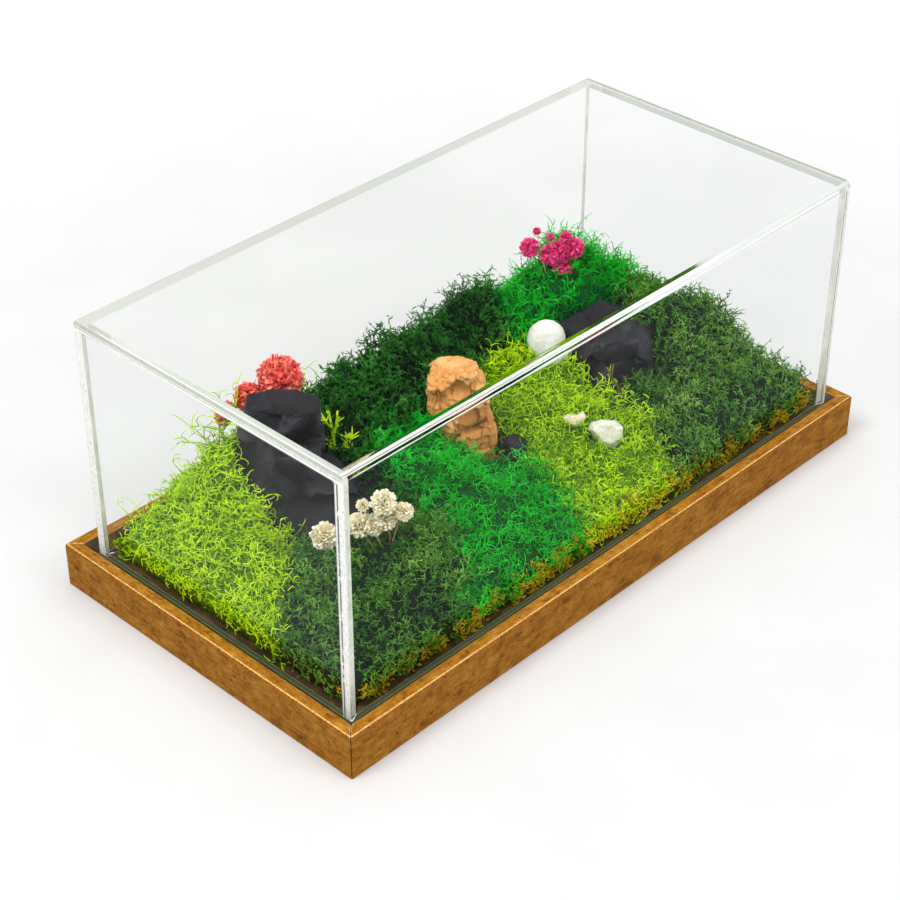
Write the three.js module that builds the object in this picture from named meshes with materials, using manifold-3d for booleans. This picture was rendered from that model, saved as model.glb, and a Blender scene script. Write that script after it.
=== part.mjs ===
// A moss terrarium: a clear acrylic cover standing in a mitred, gilded picture-frame base,
// over preserved moss, rocks, quartz and small dried flowers. Millimetres, +Z up.
// The origin is the middle of the base's underside. +X runs along the long side, the front
// long side faces -Y, and the left end faces -X.

import * as THREE from 'three';
import { mergeVertices } from 'three/addons/utils/BufferGeometryUtils.js';
import Module from 'manifold-3d';

const wasm = await Module();
wasm.setup();

// ---------- driving dimensions ----------

const FRAME_LENGTH = 280;
const FRAME_DEPTH = 150;
const FRAME_HEIGHT = 18.5;
const RAIL_WIDTH = 18; // from the outer face to the opening
const RIM_ROUND = 1.2; // radius of the outer top edge
const LIP_WIDTH = 4.8; // gilded flat top
const LIP_FALL = 0.3; // how much the flat top falls towards the cover
const LEDGE_START = 7.5; // where the slope behind the lip meets the ledge
const LEDGE_Z = 15.5; // the ledge that carries the cover
const MITRE_GAP = 0.3;

const BOARD_THICKNESS = 3.2;
const BOARD_UNDERSIDE = 0.5;
const BOARD_REBATE_WIDTH = 5;
const BOARD_REBATE_HEIGHT = 4;

const ACRYLIC = 4;
const COVER_LENGTH = 264.4;
const COVER_DEPTH = 132;
const COVER_TOP = 115.2;
const COVER_BEND = 2.6; // outer radius of the two long bends
const COVER_BEND_INSIDE = 1; // their inner radius
const COVER_FRONT = -FRAME_DEPTH / 2 + 7.8; // outer face of the front wall
const CEMENT_GAP = 0.1; // between an end panel and the wrapped sheet

const CLEARANCE = 0.3; // between pieces that rest on or in one another
const BED_TOP = LEDGE_Z;
const FOOT_Z = LEDGE_Z + CLEARANCE; // underside of the moss and the rocks

const MOSS_LENGTH = 252;
const MOSS_FRONT = -61;
const MOSS_BACK = 58.5;
const MOSS_SEAM = 0.45; // half the gap between two clumps
const MOSS_STEP = 7; // spacing of the height grid
const MOSS_EDGE_HEIGHT = 6; // how high the clumps stand at the rim of the bed
const MOSS_EDGE_WIDTH = 13; // how far in they reach their full height
const MOSS_BLEND = 13; // reach of one spot height
const LEAST_WEIGHT = 1e-6; // so that far spots still give a height

// ---------- materials ----------

const finish = (color, roughness, metalness = 0, more = {}) =>
  new THREE.MeshStandardMaterial({ color, roughness, metalness, ...more });

const gilt = finish('#b8792a', 0.42, 0.7);
const hardboard = finish('#5a4330', 0.85);
const foam = finish('#1f2a18', 0.95);
const acrylic = finish('#f4f8f6', 0.05, 0, { transparent: true, opacity: 0.25 });
const limeMoss = finish('#9ac21a', 0.9);
const emeraldMoss = finish('#0e8a34', 0.9);
const forestMoss = finish('#1f4a24', 0.9);
const blackRock = finish('#26272b', 0.8);
const brownRock = finish('#b06c3c', 0.85);
const whitePebble = finish('#ece8e0', 0.35);
const quartz = finish('#e6dcc4', 0.3);
const redPetals = finish('#e2403a', 0.85);
const magentaPetals = finish('#c2256c', 0.85);
const creamPetals = finish('#f0dfb4', 0.85);
const driedTwig = finish('#7a6a34', 0.8);

// ---------- geometry helpers ----------

function toSolid(geometry) {
  const bare = geometry.clone();
  bare.deleteAttribute('normal');
  bare.deleteAttribute('uv');
  const merged = mergeVertices(bare, 1e-4);
  return new wasm.Manifold(
    new wasm.Mesh({
      numProp: 3,
      vertProperties: new Float32Array(merged.attributes.position.array),
      triVerts: new Uint32Array(merged.index.array),
    }),
  );
}

function toGeometry(solid) {
  const mesh = solid.getMesh();
  const geometry = new THREE.BufferGeometry();
  geometry.setAttribute('position', new THREE.BufferAttribute(mesh.vertProperties, 3));
  geometry.setIndex(new THREE.BufferAttribute(mesh.triVerts, 1));
  geometry.computeVertexNormals();
  return geometry;
}

const object = new THREE.Group();

function addPiece(name, geometry, material) {
  const mesh = new THREE.Mesh(geometry, material);
  mesh.name = name;
  object.add(mesh);
  return mesh;
}

const degrees = THREE.MathUtils.degToRad;

// ---------- gilded frame: four mitred rails ----------

// The rail's section: x is the distance in from the outer face, y is the height.
function railSection() {
  const section = new THREE.Shape();
  section.moveTo(0, 0);
  section.lineTo(0, FRAME_HEIGHT - RIM_ROUND);
  section.absarc(RIM_ROUND, FRAME_HEIGHT - RIM_ROUND, RIM_ROUND, Math.PI, Math.PI / 2, true);
  section.lineTo(LIP_WIDTH, FRAME_HEIGHT - LIP_FALL);
  section.lineTo(LEDGE_START, LEDGE_Z);
  section.lineTo(RAIL_WIDTH, LEDGE_Z);
  section.lineTo(RAIL_WIDTH, BOARD_REBATE_HEIGHT);
  section.lineTo(RAIL_WIDTH - BOARD_REBATE_WIDTH, BOARD_REBATE_HEIGHT);
  section.lineTo(RAIL_WIDTH - BOARD_REBATE_WIDTH, 0);
  section.closePath();
  return section;
}

// A rail along X with its outer face at y = 0, each end cut at 45 degrees.
function railGeometry(length) {
  const geometry = new THREE.ExtrudeGeometry(railSection(), {
    depth: 1,
    bevelEnabled: false,
    curveSegments: 4,
  });
  const place = geometry.attributes.position;
  for (let i = 0; i < place.count; i++) {
    const inward = place.getX(i);
    const half = length / 2 - inward - MITRE_GAP / 2;
    place.setXYZ(i, (2 * place.getZ(i) - 1) * half, inward, place.getY(i));
  }
  return geometry;
}

const rails = [
  { name: 'frame_rail_front', length: FRAME_LENGTH, out: FRAME_DEPTH, turn: 0 },
  { name: 'frame_rail_right', length: FRAME_DEPTH, out: FRAME_LENGTH, turn: 90 },
  { name: 'frame_rail_back', length: FRAME_LENGTH, out: FRAME_DEPTH, turn: 180 },
  { name: 'frame_rail_left', length: FRAME_DEPTH, out: FRAME_LENGTH, turn: 270 },
];
for (const { name, length, out, turn } of rails) {
  const rail = railGeometry(length).translate(0, -out / 2, 0);
  addPiece(name, rail.rotateZ(degrees(turn)), gilt);
}

// ---------- base board and the bed that the moss is pressed into ----------

const boardInset = RAIL_WIDTH - BOARD_REBATE_WIDTH + CLEARANCE;
const board = new THREE.BoxGeometry(
  FRAME_LENGTH - 2 * boardInset,
  FRAME_DEPTH - 2 * boardInset,
  BOARD_THICKNESS,
);
addPiece('base_board', board.translate(0, 0, BOARD_UNDERSIDE + BOARD_THICKNESS / 2), hardboard);

const bedInset = RAIL_WIDTH + CLEARANCE;
const bedUnderside = BOARD_UNDERSIDE + BOARD_THICKNESS;
const bed = new THREE.BoxGeometry(
  FRAME_LENGTH - 2 * bedInset,
  FRAME_DEPTH - 2 * bedInset,
  BED_TOP - bedUnderside,
);
addPiece('moss_bed', bed.translate(0, 0, (BED_TOP + bedUnderside) / 2), foam);

// ---------- cover: one sheet bent over the front, top and back, and two end panels ----------

// The outline of the bent sheet's cut end, seen along X: x is the depth, y is the height.
function archOutline(inset, foot, radius) {
  const front = COVER_FRONT + inset;
  const back = COVER_FRONT + COVER_DEPTH - inset;
  const top = COVER_TOP - inset;
  return { front, back, top, foot, radius };
}

function traceArch(path, { front, back, top, foot, radius }) {
  path.moveTo(front, foot);
  path.lineTo(front, top - radius);
  path.absarc(front + radius, top - radius, radius, Math.PI, Math.PI / 2, true);
  path.lineTo(back - radius, top);
  path.absarc(back - radius, top - radius, radius, Math.PI / 2, 0, true);
  path.lineTo(back, foot);
}

// Turns an outline in depth and height, extruded along its third axis, to run along X.
function alongX(geometry, start) {
  const place = geometry.attributes.position;
  for (let i = 0; i < place.count; i++) {
    place.setXYZ(i, start + place.getZ(i), place.getX(i), place.getY(i));
  }
  return geometry;
}

function wrapGeometry() {
  const section = new THREE.Shape();
  const outer = archOutline(0, LEDGE_Z, COVER_BEND);
  const inner = archOutline(ACRYLIC, LEDGE_Z, COVER_BEND_INSIDE);
  traceArch(section, outer);
  section.lineTo(inner.back, inner.foot);
  section.lineTo(inner.back, inner.top - inner.radius);
  section.absarc(
    inner.back - inner.radius, inner.top - inner.radius, inner.radius, 0, Math.PI / 2, false,
  );
  section.lineTo(inner.front + inner.radius, inner.top);
  section.absarc(
    inner.front + inner.radius, inner.top - inner.radius, inner.radius, Math.PI / 2, Math.PI, false,
  );
  section.lineTo(inner.front, inner.foot);
  section.closePath();
  const sheet = new THREE.ExtrudeGeometry(section, {
    depth: COVER_LENGTH,
    bevelEnabled: false,
    curveSegments: 6,
  });
  return alongX(sheet, -COVER_LENGTH / 2);
}
addPiece('cover_wrap_sheet', wrapGeometry(), acrylic);

function endPanelGeometry(start) {
  const outline = new THREE.Shape();
  traceArch(outline, archOutline(ACRYLIC + CEMENT_GAP, LEDGE_Z, COVER_BEND_INSIDE));
  outline.closePath();
  const panel = new THREE.ExtrudeGeometry(outline, {
    depth: ACRYLIC,
    bevelEnabled: false,
    curveSegments: 6,
  });
  return alongX(panel, start);
}
addPiece('cover_end_left', endPanelGeometry(-COVER_LENGTH / 2), acrylic);
addPiece('cover_end_right', endPanelGeometry(COVER_LENGTH / 2 - ACRYLIC), acrylic);

// ---------- stones ----------

// A smooth, repeatable bump from -1 to 1 over directions, different for each seed.
function wobble(x, y, z, seed) {
  const wave = (a, b, c, shift) => Math.sin(a * x + b * y + c * z + shift * seed);
  return (wave(2.1, 1.3, -1.7, 1.9) + wave(-1.4, 2.6, 2.2, 2.7) + wave(3.1, -2.3, 1.1, 4.1)) / 3;
}

// Each stone is one or more lumpy balls of half-sizes `half`, cut by flat faces and joined. A
// ball's own x runs to the right as seen from the front left corner, y away from that corner
// and z up, before `lean` tips it. A cut is a direction and the share of the reach that stays.
const VIEW_TURN = -45;
const STONES = [
  {
    name: 'rock_left', material: blackRock,
    lumps: [
      {
        at: [-73, 28, 40], half: [23, 18, 46], lean: [0, 0], swell: 0.07, seed: 3, detail: 3,
        cuts: [[0.06, 0, 1, 0.6], [1, -0.1, 0, 0.56], [-1, 0, 0.2, 0.7], [0, -1, 0.2, 0.6],
          [-0.6, -0.8, 0.2, 0.7], [0.6, -0.8, 0.1, 0.72], [0.7, 0.7, 0.3, 0.76], [0, 1, 0.2, 0.62]],
      },
      {
        at: [-61, 14, 26], half: [17, 15, 19], lean: [0, 6], swell: 0.08, seed: 8, detail: 2,
        cuts: [[0.3, 0, 1, 0.7], [1, 0, 0.2, 0.72], [0, -1, 0.2, 0.72], [0, 1, 0, 0.55]],
      },
    ],
  },
  {
    name: 'rock_right', material: blackRock,
    lumps: [{
      at: [79, 4, 32], half: [22.5, 15, 22], lean: [0, 4], swell: 0.1, seed: 5, detail: 3,
      cuts: [[-0.2, 0, 1, 0.84], [-0.75, -0.3, 0.6, 0.82], [0.8, -0.5, 0.3, 0.84],
        [0.1, -1, 0.35, 0.78], [0.5, 0.2, 0.8, 0.84], [0, 1, 0.2, 0.82]],
    }],
  },
  {
    name: 'rock_small', material: blackRock,
    lumps: [{
      at: [13.2, -4.8, 19.5], half: [5, 5, 9], lean: [0, 0], swell: 0.08, seed: 2, detail: 2,
      cuts: [[0, 0, 1, 0.84], [0, -1, 0.2, 0.84], [1, 0, 0.1, 0.86]],
    }],
  },
  {
    name: 'brown_stone', material: brownRock,
    lumps: [{
      at: [2, 12, 34], half: [16.5, 12, 31], lean: [0, -7], swell: 0.06, seed: 7, detail: 3,
      cuts: [[0.1, 0, 1, 0.72], [1, 0, 0.05, 0.66], [-1, 0, 0.1, 0.66], [0.15, -1, 0.05, 0.66],
        [0.75, 0, 0.7, 0.8], [-0.75, 0, 0.7, 0.8], [0, 1, 0, 0.66]],
    }],
  },
  {
    name: 'white_pebble', material: whitePebble,
    lumps: [{
      at: [55, 15, 42], half: [7.8, 4.2, 8.2], lean: [-24, 0], swell: 0.04, seed: 4, detail: 2,
      cuts: [],
    }],
  },
  {
    name: 'quartz_tapered', material: quartz,
    lumps: [{
      at: [30.9, -19, 34.8], half: [5.2, 3, 3.4], lean: [0, 8], swell: 0.12, seed: 9, detail: 1,
      cuts: [[1, 0, 0.2, 0.8], [0.2, -0.6, 1, 0.8]],
    }],
  },
  {
    name: 'quartz_clear', material: quartz,
    lumps: [
      {
        at: [38, -31, 31.3], half: [6.8, 6, 7.2], lean: [0, 8], swell: 0.05, seed: 6, detail: 1,
        cuts: [[0.8, -0.5, 0.1, 0.8], [0, -1, 0.5, 0.78], [0.4, 0, 1, 0.8], [-0.8, 0, 0.5, 0.84]],
      },
      {
        at: [34.4, -26.4, 29.5], half: [3.2, 3, 6.4], lean: [0, -10], swell: 0.1, seed: 1, detail: 1,
        cuts: [[0, 0, 1, 0.8]],
      },
    ],
  },
];
const POCKET = 0.55; // how much wider than its stone a pocket in the moss is

function lumpSolid({ at, half, lean, swell, seed, detail, cuts }, grow) {
  const ball = new THREE.IcosahedronGeometry(1, detail);
  const size = new THREE.Vector3(...half);
  const faces = cuts.map(([x, y, z, share]) => {
    const normal = new THREE.Vector3(x, y, z).normalize();
    return { normal, reach: share * size.clone().multiply(normal).length() };
  });
  const turn = new THREE.Matrix4().makeRotationFromEuler(
    new THREE.Euler(degrees(lean[0]), degrees(lean[1]), degrees(VIEW_TURN), 'ZYX'),
  );
  const place = ball.attributes.position;
  const point = new THREE.Vector3();
  for (let i = 0; i < place.count; i++) {
    point.fromBufferAttribute(place, i);
    const bump = 1 + swell * wobble(point.x, point.y, point.z, seed);
    point.multiply(size).multiplyScalar(bump);
    for (const { normal, reach } of faces) {
      point.addScaledVector(normal, -Math.max(0, point.dot(normal) - reach));
    }
    point.setLength(point.length() + grow).applyMatrix4(turn);
    point.add(new THREE.Vector3(...at));
    point.z = Math.max(point.z, FOOT_Z - grow);
    place.setXYZ(i, point.x, point.y, point.z);
  }
  return toSolid(ball);
}

function stoneSolid({ lumps }, grow = 0) {
  return lumps.map((lump) => lumpSolid(lump, grow)).reduce((whole, lump) => whole.add(lump));
}
for (const stone of STONES) {
  addPiece(stone.name, toGeometry(stoneSolid(stone)), stone.material);
}

// ---------- dried flowers and the lime sprig: heads on thin stems from one root ----------

const STEM_RADIUS = 0.55;
const STEM_SIDES = 5;
const STEM_STEPS = 3;
const STEM_BOW = new THREE.Vector3(0.35, 0.35, 0.6); // how far along each axis the bow lies
const STEM_SPREAD = 1; // how far from the root's middle a stem starts
const ROOT_RADIUS = 2.2;

// A head is [x, y, z, radius]; the stems bow outwards between the root and the heads.
const SPRIGS = [
  { name: 'red_flower_large', material: redPetals, root: [-60, 45, 36], heads: [[-58, 45.5, 63.5, 6.8]] },
  { name: 'red_flower_middle', material: redPetals, root: [-72, 51, 34], heads: [[-69.5, 50, 58, 4.7]] },
  { name: 'red_flower_small', material: redPetals, root: [-79, 52, 33], heads: [[-77.5, 53, 55, 3]] },
  {
    name: 'lime_sprig', material: limeMoss, root: [-50, 24, 24],
    heads: [[-53, 25, 53, 1.3], [-50.5, 23.5, 51, 1.2], [-48, 20.5, 44, 1.3], [-53, 24.5, 40, 2.1]],
  },
  {
    name: 'magenta_sprig', material: magentaPetals, root: [89, 36, 30],
    heads: [
      [79, 46, 61.5, 3.6], [81, 44, 69, 1.6], [84.5, 40, 66.5, 1.8], [84.5, 39.5, 58.5, 3.8],
      [88, 36.5, 60, 4.2], [91, 33, 61.5, 4.2], [88.5, 35, 67, 2.4], [88, 35, 52.5, 4],
      [90.5, 33, 48.5, 3.4],
    ],
  },
  { name: 'cream_sprig_left', material: creamPetals, root: [-76, -18, 27], heads: [[-88, -11, 40, 4.6]] },
  {
    name: 'cream_sprig_right', material: creamPetals, root: [-73, -24, 27],
    heads: [
      [-81, -17, 44, 4], [-80, -18, 52.5, 2.2], [-75, -23, 53.5, 4.2], [-77.5, -20.5, 44, 3.8],
      [-74.5, -23.5, 46.5, 3.8], [-70, -28, 49.5, 3.2],
    ],
  },
  { name: 'forked_twig', material: driedTwig, root: [67.5, -12.5, 22], heads: [[63, -7.5, 38.5, 1.2]] },
];

function sprigSolid({ root, heads }, grow = 0) {
  const base = new THREE.Vector3(...root);
  const bead = new THREE.IcosahedronGeometry(ROOT_RADIUS + grow, 0).translate(...root);
  const section = new THREE.Shape();
  section.absarc(0, 0, STEM_RADIUS + grow, 0, 2 * Math.PI, false);
  const parts = heads.map(([x, y, z, radius]) => {
    const head = new THREE.Vector3(x, y, z);
    const start = base.clone().add(new THREE.Vector3(x - base.x, y - base.y, 0).setLength(STEM_SPREAD));
    const middle = start.clone().add(head.clone().sub(start).multiply(STEM_BOW));
    const stem = new THREE.ExtrudeGeometry(section, {
      steps: STEM_STEPS,
      curveSegments: STEM_SIDES,
      extrudePath: new THREE.CatmullRomCurve3([start, middle, head]),
    });
    const bloom = new THREE.IcosahedronGeometry(radius + grow, 1);
    return toSolid(stem).add(toSolid(bloom.translate(x, y, z)));
  });
  return parts.reduce((whole, part) => whole.add(part), toSolid(bead));
}
for (const sprig of SPRIGS) {
  addPiece(sprig.name, toGeometry(sprigSolid(sprig)), sprig.material);
}

// ---------- moss: one rolling surface, parted into clumps that leave pockets for the rest ----------

// Heights of the moss at a few spots: [x, y, z].
const SPOT_HEIGHTS = [
  [-112, -8, 31], [-108, 22, 37], [-100, 42, 39], [-84, 48, 54], [-70, 51, 52], [-116, 50, 28],
  [-100, -42, 35], [-96, -10, 35], [-78, -34, 38], [-64, -28, 40], [-84, 2, 20], [-70, -7, 24],
  [-55, -8, 22], [-45, -44, 28], [-25, -34, 31], [-8, -46, 25], [-32, 3, 41], [-24, 12, 37],
  [-42, 8, 38], [-12, 0, 25], [2, -4, 19], [14, -12, 21], [8, -26, 25], [-36, -14, 34],
  [-50, 46, 48], [-34, 46, 52], [-10, 48, 55], [14, 48, 53], [34, 48, 58], [48, 50, 62],
  [-20, 28, 40], [22, 30, 38], [12, -48, 23], [20, -32, 25], [38, -31, 26], [31, -19, 37],
  [28, -6, 30],
  [38, 16, 32], [54, 15, 37], [58, -12, 24], [62, -46, 31], [86, -44, 33], [110, -40, 34],
  [106, -14, 54], [76, -24, 27], [120, 4, 40], [64, 46, 44], [82, 42, 48], [97, 40, 66],
  [107, 29, 50], [112, 20, 44], [118, 44, 40], [96, 18, 46],
];

// Clump outlines, which share their corners. Each is drawn counterclockwise.
const CLUMPS = [
  {
    name: 'moss_lime_left', material: limeMoss,
    outline: [[-126, -28], [-107, -12], [-95, 0], [-90, 38], [-100, 58.5], [-126, 58.5]],
  },
  {
    name: 'moss_lime_back', material: limeMoss,
    outline: [[-100, 58.5], [-90, 38], [-91, 12], [-76, 16], [-60, 10], [-66, 30], [-60, 40],
      [-56, 58.5]],
  },
  {
    name: 'moss_forest_front_left', material: forestMoss,
    outline: [[-126, -61], [-78, -61], [-62, -46], [-50, -26], [-46, -6], [-60, 10], [-76, 16],
      [-91, 12], [-95, 0], [-107, -12], [-126, -28]],
  },
  {
    name: 'moss_emerald_front', material: emeraldMoss,
    outline: [[-78, -61], [-13, -61], [2, -42], [8, -18], [-22, -18], [-48, -18], [-50, -26], [-62, -46]],
  },
  {
    name: 'moss_emerald_ridge', material: emeraldMoss,
    outline: [[-48, -18], [-22, -18], [8, -18], [12, -8], [2, 0], [-10, 20], [-40, 20], [-46, -6]],
  },
  {
    name: 'moss_forest_back_left', material: forestMoss,
    outline: [[-56, 58.5], [-60, 40], [-66, 30], [-60, 10], [-46, -6], [-40, 20], [-10, 20],
      [6, 26], [6, 58.5]],
  },
  {
    name: 'moss_forest_back_right', material: forestMoss,
    outline: [[6, 26], [16, 16], [34, 28], [50, 26], [50, 42], [54, 58.5], [6, 58.5]],
  },
  {
    name: 'moss_lime_middle', material: limeMoss,
    outline: [[-13, -61], [42, -61], [50, -45], [62, -31], [66, -14], [62, 6], [50, 26], [34, 28],
      [16, 16], [16, 2], [12, -8], [8, -18], [2, -42]],
  },
  {
    name: 'moss_forest_right_front', material: forestMoss,
    outline: [[42, -61], [126, -61], [126, -26], [92, -26], [62, -31], [50, -45]],
  },
  {
    name: 'moss_forest_right_back', material: forestMoss,
    outline: [[62, -31], [92, -26], [126, -26], [126, 16], [102, 16], [92, -4], [66, -14]],
  },
  {
    name: 'moss_emerald_back', material: emeraldMoss,
    outline: [[54, 58.5], [50, 42], [50, 26], [70, 22], [102, 16], [126, 16], [126, 58.5]],
  },
];

function mossHeight(x, y) {
  let total = 0;
  let weights = 0;
  for (const [spotX, spotY, height] of SPOT_HEIGHTS) {
    const near = Math.hypot(x - spotX, y - spotY) / MOSS_BLEND;
    const weight = Math.exp(-near * near) + LEAST_WEIGHT;
    total += weight * height;
    weights += weight;
  }
  const rim = Math.min(MOSS_LENGTH / 2 - Math.abs(x), y - MOSS_FRONT, MOSS_BACK - y);
  const rise = Math.sin((Math.PI / 2) * THREE.MathUtils.clamp(rim / MOSS_EDGE_WIDTH, 0, 1));
  const edge = FOOT_Z + MOSS_EDGE_HEIGHT;
  return edge + (total / weights - edge) * rise;
}

function mossSurface() {
  const depth = MOSS_BACK - MOSS_FRONT;
  const columns = Math.round(MOSS_LENGTH / MOSS_STEP);
  const rows = Math.round(depth / MOSS_STEP);
  const block = new THREE.BoxGeometry(MOSS_LENGTH, depth, 1, columns, rows, 1);
  block.translate(0, (MOSS_FRONT + MOSS_BACK) / 2, 0);
  const place = block.attributes.position;
  for (let i = 0; i < place.count; i++) {
    const top = place.getZ(i) > 0;
    place.setZ(i, top ? mossHeight(place.getX(i), place.getY(i)) : FOOT_Z);
  }
  return toSolid(block);
}

// Moves every side of an outline inwards by the same distance.
function insetOutline(outline, distance) {
  return outline.map((corner, i) => {
    const here = new THREE.Vector2(...corner);
    const before = new THREE.Vector2(...outline.at(i - 1));
    const after = new THREE.Vector2(...outline[(i + 1) % outline.length]);
    const arriving = here.clone().sub(before).normalize();
    const leaving = after.sub(here).normalize();
    const inward = new THREE.Vector2(-arriving.y - leaving.y, arriving.x + leaving.x).normalize();
    const slant = inward.dot(new THREE.Vector2(-arriving.y, arriving.x));
    return here.addScaledVector(inward, distance / slant);
  });
}

const surface = mossSurface();
const pockets = [
  ...STONES.map((stone) => stoneSolid(stone, POCKET)),
  ...SPRIGS.map((sprig) => sprigSolid(sprig, POCKET)),
].reduce((whole, pocket) => whole.add(pocket));

for (const { name, material, outline } of CLUMPS) {
  const shape = new THREE.Shape(insetOutline(outline, MOSS_SEAM));
  const column = new THREE.ExtrudeGeometry(shape, { depth: COVER_TOP, bevelEnabled: false });
  const clump = surface.intersect(toSolid(column)).subtract(pockets);
  const pieces = clump.decompose().sort((a, b) => b.volume() - a.volume());
  addPiece(name, toGeometry(pieces[0]), material);
}

export default object;
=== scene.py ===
"""A moss terrarium: a clear cover in a gilded frame base, over moss, rocks, quartz and dried
flowers. Lengths are in millimetres up to the point where a mesh is made."""

import math
from itertools import product

import bmesh
import bpy
import numpy as np
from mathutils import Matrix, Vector, noise
from mathutils.kdtree import KDTree


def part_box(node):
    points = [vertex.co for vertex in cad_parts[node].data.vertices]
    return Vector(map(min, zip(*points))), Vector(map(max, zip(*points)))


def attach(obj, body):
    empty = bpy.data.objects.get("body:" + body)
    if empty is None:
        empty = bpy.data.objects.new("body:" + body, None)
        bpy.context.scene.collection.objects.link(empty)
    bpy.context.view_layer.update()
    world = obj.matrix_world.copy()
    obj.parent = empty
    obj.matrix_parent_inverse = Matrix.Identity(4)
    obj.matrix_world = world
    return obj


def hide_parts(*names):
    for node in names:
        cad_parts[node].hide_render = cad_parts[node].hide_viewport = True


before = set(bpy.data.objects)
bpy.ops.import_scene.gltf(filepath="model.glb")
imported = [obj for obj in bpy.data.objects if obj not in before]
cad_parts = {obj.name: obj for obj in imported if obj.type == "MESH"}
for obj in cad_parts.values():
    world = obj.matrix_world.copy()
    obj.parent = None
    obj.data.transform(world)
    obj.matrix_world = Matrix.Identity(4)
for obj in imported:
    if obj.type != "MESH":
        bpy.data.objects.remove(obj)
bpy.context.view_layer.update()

MM = 0.001
SCENE = bpy.context.scene

# The base's outside, from its middle.
BASE_X, BASE_Y = 140, 75

# The cover's outside, how thick its sheets are and how tightly it is bent.
COVER_X, FRONT, BACK, FOOT, TOP, SHEET = 132.2, -67.2, 64.8, 15.5, 115.2, 4.0
BEND, BEND_INSIDE = 2.6, 1.0

GOLDEN_ANGLE = 2.399963  # turning by this from each to the next spreads directions evenly

# ---------- finishes ----------


def ink(code):
    """A paint colour written as six hex digits, as linear light."""
    parts = [int(code[i : i + 2], 16) / 255 for i in (0, 2, 4)]
    return tuple(p / 12.92 if p < 0.04045 else ((p + 0.055) / 1.055) ** 2.4 for p in parts) + (1,)


def grey(value):
    return (value, value, value, 1)


class Shade:
    """A value in a finish. Sums on it add the Math nodes."""

    def __init__(self, finish, socket):
        self.finish, self.socket = finish, socket

    def __add__(self, other):
        return self.finish.sum("ADD", self, other)

    def __sub__(self, other):
        return self.finish.sum("SUBTRACT", self, other)

    def __rsub__(self, other):
        return self.finish.sum("SUBTRACT", other, self)

    def __mul__(self, other):
        return self.finish.sum("MULTIPLY", self, other)

    __radd__, __rmul__ = __add__, __mul__


class Finish:
    """A procedural material, or the world's, built node by node."""

    def __init__(self, name, owners=bpy.data.materials):
        self.material = owners.new(name)
        self.material.use_nodes = True
        self.tree = self.material.node_tree
        self.tree.nodes.clear()

    def put(self, kind, sockets=None, out=0, **settings):
        """Adds a node of a kind, sets its settings, then the values or links of its sockets."""
        node = self.tree.nodes.new("ShaderNode" + kind)
        for key, value in settings.items():
            setattr(node, key, value)
        for key, value in (sockets or {}).items():
            if isinstance(value, Shade):
                self.tree.links.new(value.socket, node.inputs[key])
            else:
                node.inputs[key].default_value = value
        return Shade(self, node.outputs[out]) if len(node.outputs) else self

    def sum(self, kind, *terms):
        return self.put("Math", dict(enumerate(terms)), operation=kind)

    def mix(self, share, first, second):
        return self.put("Mix", {0: share, 6: first, 7: second}, 2, data_type="RGBA")

    def blend(self, share, first, second):
        """A mix of two shaders."""
        return self.put("MixShader", {0: share, 1: first, 2: second})

    def axis(self, name, vector=None):
        """X, Y or Z of a vector, or else of where a point is on the piece, in millimetres."""
        return self.put("SeparateXYZ", {"Vector": vector or self.place()}, name)

    def place(self, stretch=(1, 1, 1)):
        """Where a point is on the piece, in millimetres divided by stretch."""
        scale = tuple(1 / (MM * s) for s in stretch)
        return self.put("Mapping", {"Vector": self.put("TexCoord", out="Object"), "Scale": scale})

    def cloud(self, size, detail=3, rough=0.55, stretch=(1, 1, 1)):
        """Soft noise whose patches are size millimetres across."""
        sockets = {"Vector": self.place(tuple(size * s for s in stretch)), "Scale": 1}
        return self.put("TexNoise", sockets | {"Detail": detail, "Roughness": rough})

    def cells(self, size, feature="F1", stretch=(1, 1, 1)):
        sockets = {"Vector": self.place(tuple(size * s for s in stretch)), "Scale": 1}
        return self.put("TexVoronoi", sockets, feature=feature)

    def band(self, value, low, high):
        """0 below low, 1 above high and smooth between."""
        sockets = {"Value": value, "From Min": low, "From Max": high}
        return self.put("MapRange", sockets, interpolation_type="SMOOTHSTEP")

    def stripe(self, value, middle, half, soft=0.15):
        """1 where value is within half of middle, falling to 0 beyond it."""
        away = self.sum("ABSOLUTE", value - middle)
        return 1 - self.band(away, half, half + soft)

    def ramp(self, value, *stops):
        """Colours over a value. Each stop is a place and a colour or its six hex digits."""
        shade = self.put("ValToRGB", {0: value})
        made = shade.socket.node.color_ramp.elements
        inks = [(place, ink(look) if isinstance(look, str) else look) for place, look in stops]
        for end in (0, -1):
            made[end].position, made[end].color = inks[end]
        for place, colour in inks[1:-1]:
            made.new(place).color = colour
        return shade

    def own(self, name):
        """A value that the mesh carries."""
        return self.put("Attribute", out=2, attribute_name=name)

    def ray(self, kind):
        """1 for rays of a kind and 0 for others."""
        return self.put("LightPath", out=f"Is {kind} Ray")

    def paint(self, colour, rough, bumps=None, depth=0.0, **sockets):
        """The main shader, with bumps of depth millimetres and other sockets by their names."""
        named = {key.replace("_", " "): value for key, value in sockets.items()}
        named |= {"Base Color": colour, "Roughness": rough}
        if bumps:
            bump = {"Height": bumps, "Distance": depth * MM, "Strength": 1}
            named["Normal"] = self.put("Bump", bump)
        return self.put("BsdfPrincipled", named)

    def coat(self, *looks, **sockets):
        return self.finish_with(self.paint(*looks, **sockets))

    def finish_with(self, shader):
        self.put("OutputMaterial", {"Surface": shader})
        return self.material


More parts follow.
